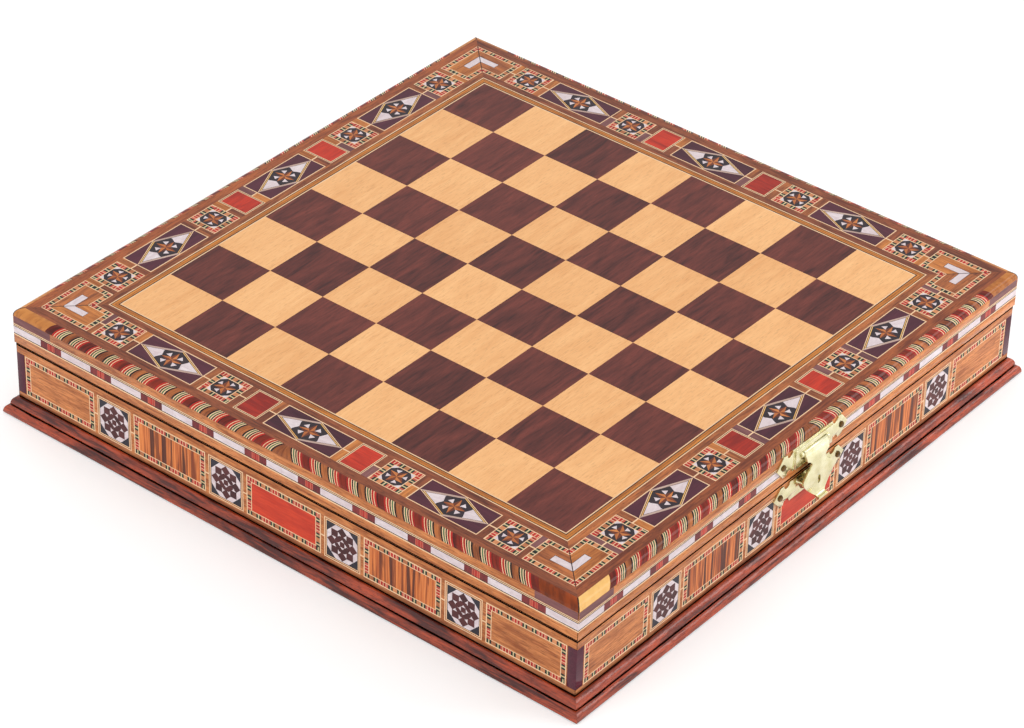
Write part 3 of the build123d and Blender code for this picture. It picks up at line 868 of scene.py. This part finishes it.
# The sides of the lid
def pearl_band():
    """Lines above and below a row of pearl and red blocks, the same on each side of the lid."""
    half, high = lid_half, (pearl_high - pearl_low) / 2
    mosaic = Mosaic()
    at = high
    for wood, width in (("cream", 0.5), ("umber", 0.4), ("cream", 0.5), ("black", 0.45)):
        mosaic.lay(rectangle(-half, at - width, half, at), wood)
        at -= width
    low = 1.3 - high
    mosaic.lay(rectangle(-half, -high, half, low - 0.5), "cream")
    mosaic.lay(rectangle(-half, low - 0.5, half, low), "black")
    fine = [("rose", 0.7), ("red", 0.5), ("rose", 0.8), ("red", 1.2)]
    group = [("garnet", 5.0), *fine, *fine[2::-1], ("garnet", 5.0)]
    pearl_l = 21.5
    blocks = [("pearl", pearl_l / 2)] + 4 * (group + [("pearl", pearl_l)]) + group + [("pearl", half)]
    for sign in (-1, 1):
        edge = 0.0
        for wood, width in blocks:
            stop = min(edge + width, half)
            mosaic.lay(rectangle(sign * edge, low, sign * stop, at), wood, 0 if wood == "pearl" else 90)
            edge = stop
    piece = Piece("pearl_band")
    for turn, along, outward in each_side():
        middle = outward * lid_half + UP * (pearl_low + pearl_high) / 2
        piece.mosaic(mosaic, middle, along, UP, side_veneer_t, seed=turn + 1000, end_cut=side_veneer_t)
    piece.done("lid", "lid_pearl_band", slot="pearl_inlay")


EDGE_GREENS = [("black", 1.1), ("cream", 0.6), ("green", 1.0), ("cream", 0.6), ("black", 0.9)]
EDGE_REDS = [("cream", 0.5), ("red", 1.3), ("cream", 0.5), ("red", 1.3)]
EDGE_BLOCK = [("brick", 5.1)]
EDGE_HALF = EDGE_GREENS + EDGE_REDS
EDGE_PERIOD = EDGE_HALF + EDGE_BLOCK + EDGE_HALF[::-1] + [("walnut", 4.2)]
edge_lean = 4.8
edge_steps = 8
glue_line = 0.5
end_veneer_l = 27.0
end_veneer_h = 4.6


def edge_banding():
    """A quarter round of slanting stripes along each edge of the top, with plain corners."""
    piece = Piece("edge_banding")
    stripes = [("walnut", 2.1)] + 6 * EDGE_PERIOD + EDGE_HALF + EDGE_BLOCK
    for turn, along, outward in each_side():
        for sign in (-1, 1):
            piece.solid += 1
            edge, dice = 0.0, random.Random(turn + sign)
            for wood, width in stripes:
                stripe(piece, along * sign, outward, (edge, edge + width), wood, dice.random(), sign)
                edge += width
            wood = {(0, -1): "blond", (270, 1): "treacle"}.get((turn, sign), "honey")
            stripe(piece, along * sign, outward, (edge, -glue_line), wood, dice.random(), sign)
            stripe(piece, along * sign, outward, (-glue_line, None), "umber", 0.5, sign)
    made = piece.done("lid", "lid_edge_banding", slot="edge_inlay")
    made.data.shade_smooth()
    made.data.set_sharp_from_angle(angle=math.radians(30))


def stripe(piece, along, outward, span, wood, tone, sign):
    """One stripe of the quarter round. It ends at the mitre if its span has no end."""
    rows = []
    for step in range(edge_steps + 1):
        angle = math.radians(90 * step / edge_steps)
        out, rise = flat_half + edge_r * math.cos(angle), edge_r * math.sin(angle)
        slant = edge_lean * (0.6 * math.cos(angle) + 0.4 * (1 - math.sin(angle)))
        ends = [along_mitre(place, out, slant) for place in span]
        rows.append([along * end + outward * out + UP * (top_z - edge_r + rise) for end in ends])
    axis = [row - UP * edge_r for row in rows[-1]]
    rows = [axis, *rows, axis]
    length = edge_r * math.pi / 2 / edge_steps
    for number, (low, high) in enumerate(zip(rows, rows[1:])):
        corners = ((0, 0), (0, 5), (1, 5), (1, 0))
        grains = [((number + up) * length, across, span[0]) for up, across in corners]
        points = [low[0], low[1], high[1], high[0]]
        piece.face(points[::sign], wood, tone, grains[::sign])
    for place, needed, way in ((0, span[0] == 0, -sign), (1, span[1] is None, sign)):
        if needed:
            cap = [row[place] for row in rows[:-1]]
            piece.face(cap[::way], wood, tone, [(k, k, 0.0) for k in range(len(cap))])


def along_mitre(place, out, slant):
    """Where a stripe's edge lies: slanting, or at or near the mitre if its place is None or below 0."""
    if place is None:
        return out
    if place < 0:
        return out + place
    return place + (slant if place else 0.0)


def rail_ends():
    """Darker veneers at both ends of the lid's sides, just below the banding."""
    piece = Piece("rail_ends")
    end_veneer = veneer(end_veneer_l, end_veneer_h, "dusk")
    place = lid_half - glue_line - end_veneer_l / 2
    height = (top_z - edge_r + pearl_high) / 2
    for turn, along, outward in each_side():
        for sign in (-1, 1):
            middle = along * sign * place + outward * (lid_half + tick_proud) + UP * height
            piece.mosaic(end_veneer, middle, along, UP, 2 * tick_proud, seed=turn + sign + 1500)
    piece.done("lid", slot="walnut_inlay")


# The walls
def wall_tiles(name, slot, tile, places, *nodes, proud=0.0, seed=2000):
    """A tile at each of its places along the four walls. One that stands proud has a thin body."""
    piece = Piece(name)
    thickness = 2 * proud or side_veneer_t
    for turn, along, outward in each_side():
        for number, place in enumerate(places):
            middle = along * place + outward * (wall_half + proud) + UP * side_tile_z
            piece.mosaic(tile, middle, along, UP, thickness, seed=turn + number + seed)
    piece.done("box", *nodes, slot=slot)


def wall_ticks():
    """Short light lines let into the wall between one panel and the next."""
    tick = veneer(side_tile_gap, tick_w, "cream")
    past = (side_star_w + side_tile_gap) / 2
    places = both_ways(*(star_mid + way * past for star_mid in side_star_mids for way in (-1, 1)))
    wall_tiles("wall_ticks", "walnut_inlay", tick, places, proud=tick_proud, seed=3000)


def gap_lines():
    """Painted shadow: a dark line at the foot of each wall, and one at its top, just under the overhanging
    lid.
    """
    piece = Piece("gap_lines")
    line = veneer(2 * wall_half, shadow_line_h, "gap")
    for turn, along, outward in each_side():
        for height in (plinth_high + shadow_line_h / 2, seam_z - wall_ease - shadow_line_h / 2):
            middle = outward * (wall_half + tick_proud) + UP * height
            piece.mosaic(line, middle, along, UP, 2 * tick_proud, seed=turn + 3500, end_cut=tick_proud)
    piece.done("box", slot="walnut_inlay")


# CAD solids with their edges eased
seam_shade = 0.4
plinth_foot = 0.5
plinth_groove_z = plinth_high / 2 + 0.35
plinth_groove_h = 0.9
plinth_ease = 0.25
board_ease = 0.4
post_ease = 0.05
brass_ease = 0.18


def eased(node, finish, width, body):
    """A copy of a CAD solid with its sharp edges rounded."""
    grid = bmesh.new()
    grid.from_mesh(frame["nodes"][node].data)
    bmesh.ops.remove_doubles(grid, verts=grid.verts, dist=2e-6)
    bmesh.ops.dissolve_limit(grid, angle_limit=math.radians(1.0), verts=grid.verts, edges=grid.edges)
    for face in grid.faces:
        face.smooth = True
    mesh = bpy.data.meshes.new(f"{node}_finish")
    grid.to_mesh(mesh)
    grid.free()
    mesh.materials.clear()
    mesh.materials.append(material(finish))
    made = placed(mesh, body, node)
    bevel = made.modifiers.new("eased", "BEVEL")
    bevel.width, bevel.segments, bevel.limit_method = width * MM, 2, "ANGLE"
    bevel.angle_limit = math.radians(32)
    bevel.harden_normals = True
    evaluated = made.evaluated_get(bpy.context.evaluated_depsgraph_get())
    made.modifiers.clear()
    made.data = bpy.data.meshes.new_from_object(evaluated)
    low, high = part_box(node)
    for vert in made.data.vertices:
        vert.co = [min(max(vert.co[k], low[k]), high[k]) for k in range(3)]
    return made


def eased_wood(node, wood, width, body, seed, along_y=False):
    """The same in wood, with the grain along X or Y."""
    made = eased(node, wood, width, body)
    dice = random.Random(seed)
    shift = Vector([dice.uniform(0, 900) for _ in range(3)])
    grains = []
    for loop in made.data.loops:
        x, y, z = made.data.vertices[loop.vertex_index].co / MM
        grains.append(shift + (Vector((y, z, x)) if along_y else Vector((x, z, y))))
    put_grain(made.data, grains, [dice.random()] * len(made.data.polygons))
    return made


def paint_shade(made, shaded):
    """Paints shade: the faces whose middles pass a test take the near-black painted shade finish."""
    made.data.materials.append(material("gap"))
    for face in made.data.polygons:
        if shaded(*face.center / MM):
            face.material_index = 1


def on_edges(half, seam):
    """A test for the eased edges along the seam of lid and box and up the corners, which take painted shade.
    """
    def shaded(x, y, z):
        near_seam = abs(z - seam) < seam_shade and max(abs(x), abs(y)) > half - 1
        return near_seam or min(abs(x), abs(y)) > half - seam_shade

    return shaded


def in_groove(x, y, z):
    """A test for the groove between the plinth's beads and the edge at its foot, which take painted shade.
    """
    return z < plinth_foot or abs(z - plinth_groove_z) < plinth_groove_h / 2


def woodwork():
    for number, side in enumerate(SIDES):
        along_y = side in ("left", "right")
        wall = eased_wood(f"wall_{side}", "wall_wood", wall_ease, "box", number + 1, along_y)
        rail = eased_wood(f"lid_rail_{side}", "wall_wood", wall_ease, "lid", number + 5, along_y)
        plinth = eased_wood(f"plinth_{side}", "mahogany", plinth_ease, "box", number + 9, along_y)
        # Painted shade on the eased edges at the seam and up the corners, and in the plinth's groove and
        # along its foot.
        paint_shade(wall, on_edges(wall_half, seam_z))
        paint_shade(rail, on_edges(lid_half, heights(f"lid_rail_{side}")[0]))
        paint_shade(plinth, in_groove)
    eased_wood("side_corner_posts", "aubergine", post_ease, "box", 14)

    def board(node, seed, along_y=False):
        eased_wood(node, "box_wood", board_ease, "box", seed, along_y)

    board("bottom_panel", 15)
    for row in ("front", "back"):
        board(f"long_divider_{row}", 16)
        for number in range(1, 8):
            board(f"cross_divider_{row}_{number}", 16 + number, along_y=True)


def hardware():
    """Brass nodes, with eased edges where they show."""
    bodies = frame["record"]["behaviour"]["bodies"]
    done = {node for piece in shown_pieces() for node in piece.get("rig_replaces", [])}
    for body, nodes in bodies.items():
        for node in nodes:
            if node not in done and "velvet" not in node:
                # Nails and screws take the dark brass of painted shade.
                finish = "old_brass" if "nails" in node or "screws" in node else "brass"
                eased(node, finish, brass_ease, body)


# Velvet
roll = 1.2
rolled_share = 0.35
unevenness = 0.08
sheet_steps = 40


def crossings(size):
    """Where a sheet's rows of corners lie: close together near its rolled edges."""
    middle = [roll + (size - 2 * roll) * k / sheet_steps for k in range(1, sheet_steps)]
    return [0, roll * 0.3, roll, *middle, size - roll, size - roll * 0.3, size]


def velvet_sheet(name, node, body, corner, along, across, size, thickness):
    """A flat sheet of velvet with rolled edges. Its corner is on the side that is glued down."""
    normal = along.cross(across)
    width, length = size
    dice = random.Random(len(name))
    grid = bmesh.new()
    rows = []
    for y in crossings(length):
        row = []
        for x in crossings(width):
            edge = min(x, width - x, y, length - y)
            lift = thickness * (rolled_share + (1 - rolled_share) * min(1.0, edge / roll) ** 0.5)
            lift -= unevenness * dice.random() if edge >= roll else 0.0
            row.append(grid.verts.new((corner + along * x + across * y + normal * lift) * MM))
        rows.append(row)
    for low, high in zip(rows, rows[1:]):
        for k in range(len(low) - 1):
            grid.faces.new((low[k], low[k + 1], high[k + 1], high[k]))
    ring = rows[0][:-1] + [row[-1] for row in rows[:-1]] + rows[-1][:0:-1] + [row[0] for row in rows[:0:-1]]
    feet = [grid.verts.new(vert.co - normal * (thickness * rolled_share * MM)) for vert in ring]
    for (rim, foot), (next_rim, next_foot) in edges(list(zip(ring, feet))):
        grid.faces.new((next_rim, rim, foot, next_foot))
    grid.faces.new(feet[::-1])
    for face in grid.faces:
        face.smooth = True
    mesh = bpy.data.meshes.new(name)
    grid.to_mesh(mesh)
    grid.free()
    mesh.materials.append(material("velvet"))
    made = placed(mesh, body, node, slot="velvet")


def linings():
    """Velvet on the floor of the box, under the lid and on the walls."""
    floor_w, lid_w = 2 * floor_half, 2 * lid_lining_half
    floor_t, lid_t = floor_high - floor_low, lid_lining_high - lid_lining_low
    corner = UP * floor_low - (X + Y) * floor_half
    size = floor_w, floor_w
    velvet_sheet("floor_velvet", "bottom_velvet", "box", corner, X, Y, size, floor_t)
    corner = UP * lid_lining_high + (X - Y) * lid_lining_half
    velvet_sheet("lid_velvet_sheet", "lid_velvet", "lid", corner, -X, Y, (lid_w, lid_w), lid_t)
    size = floor_w, lining_high - lining_low
    wall_t = lining_half - floor_half
    for side, (_, along, outward) in zip(SIDES, each_side()):
        name, under = f"{side}_wall_velvet", f"wall_{side}_finish"
        corner = along * floor_half + outward * lining_half + UP * lining_low
        velvet_sheet(name, "wall_velvet", "box", corner, -along, UP, size, wall_t)


# Studio
CAMERA_PLACE = Vector((-1364.9, -1073.6, 1242.1)) * MM
CAMERA_TARGET = Vector((-57.5, -40.2, 68.0)) * MM
CAMERA_LENS = 136.54
CAMERA_ROLL = math.radians(1.667)


def camera():
    """The photograph's view of the box."""
    made = linked(bpy.data.cameras.new("camera"))
    made.data.lens = CAMERA_LENS
    aim = (CAMERA_TARGET - CAMERA_PLACE).to_track_quat("-Z", "Y").to_matrix().to_4x4()
    made.matrix_world = Matrix.Translation(CAMERA_PLACE) @ aim @ Matrix.Rotation(CAMERA_ROLL, 4, "Z")
    bpy.context.scene.camera = made


def softbox(name, place, aim, width, height, radiance, mirrored=True):
    """A rectangular lamp that the camera doesn't see, and that gloss reflects if it is mirrored."""
    lamp = bpy.data.lights.new(name, "AREA")
    lamp.shape, lamp.size, lamp.size_y = "RECTANGLE", width, height
    lamp.energy = radiance * math.pi * width * height
    made = linked(lamp)
    made.location = place
    made.rotation_euler = (Vector(aim) - Vector(place)).to_track_quat("-Z", "Y").to_euler()
    made.visible_camera = False
    made.visible_glossy = mirrored


def lighting():
    softbox("overhead", (0.1, -0.1, 1.7), (0, 0, 0), 1.2, 1.2, 0.6)
    softbox("key", (1.1, -1.3, 0.9), (0, 0, 0.03), 0.9, 0.7, 2.6)
    softbox("low_front", (0.9, -1.2, 0.2), (0, -0.15, 0.05), 1.0, 0.38, 4.4, mirrored=False)
    softbox("table", (0.75, -0.95, 0.5), (0.75, -0.95, 0.0), 0.9, 0.5, 3.5, mirrored=False)
    softbox("back", (0.37, 1.4, 0.68), (0, 0, 0.05), 0.9, 0.7, 1.6, mirrored=False)
    softbox("fill", (-1.5, 0.3, 0.75), (0, 0, 0.03), 1.0, 1.2, 2.5, mirrored=False)


def world(fill=0.68):
    """White to the camera and in reflections, and a plain fill light."""
    shader = Shader("studio", "worlds", "Background", Color=(1, 1, 1, 1))
    seen = shader.rays("Is Camera Ray", "Is Glossy Ray", "Is Transmission Ray")
    bpy.context.scene.world = shader.give(Strength=shader.between(seen, 0.0, 1.0, fill, 1.0))


def floor():
    """A pale floor that the camera sees as white, with the object's shadow on it."""
    far = 6.0
    mesh = bpy.data.meshes.new("floor")
    mesh.from_pydata([(*p, 0) for p in rectangle(-far, -far, far, far)], [], [(0, 1, 2, 3)])
    shader = Shader("floor", Roughness=0.9, Specular_IOR_Level=0.0, Base_Color=(0.82, 0.82, 0.82, 1.0))
    glow = shader.math("MULTIPLY", shader.rays("Is Camera Ray", "Is Glossy Ray"), 0.3)
    mesh.materials.append(shader.give(Emission_Color=(1, 1, 1, 1), Emission_Strength=glow))
    linked(mesh)


# The object and its studio
camera()
playing_squares("dark_field", "dark_squares", "dark_square", "rosewood", 0)
playing_squares("light_field", "light_squares", "light_square", "maple", 1)
stringing()
star_places = both_ways(inner_star_mid, outer_star_mid)
stars = [star_tile(1), star_tile(-1)]
top_tiles("star_marquetry", "top_star_tiles", "star_inlay", [stars, stars], star_places)
diamond_places = [0, *both_ways(outer_diamond_mid)]
diamonds = [[diamond_tile(1)], [diamond_tile(0)]]
top_tiles("diamond_marquetry", "top_diamond_tiles", "purple_wood", diamonds, diamond_places)
top_tiles("red_marquetry", "top_red_tiles", "red_inlay", 2 * [[red_tile()]], both_ways(red_mid))
corners = 2 * [[corner_tile()]]
top_tiles("corner_marquetry", "top_corner_tiles", "walnut_inlay", corners, [0], out=0, seed=700)
lid_board()
pearl_band()
edge_banding()
rail_ends()
side_pitch = 2 * side_star_mid
wall_tiles("wall_stars", "star_inlay", wall_star(), both_ways(*side_star_mids), "side_star_tiles")
wall_tiles("wall_reds", "red_inlay", wall_panel("crimson", 0), [0], "side_red_panels")
stripes = wall_panel("zebra", 90)
wall_tiles("wall_stripes", "striped_wood", stripes, both_ways(side_pitch), "side_striped_panels")
walnuts = wall_panel("wall_wood", 0)
wall_tiles("wall_walnuts", "walnut_inlay", walnuts, both_ways(2 * side_pitch), "side_walnut_panels")
wall_ticks()
gap_lines()
linings()
woodwork()
hardware()
lighting()
world()
floor()
bpy.context.scene.view_settings.view_transform = "Standard"
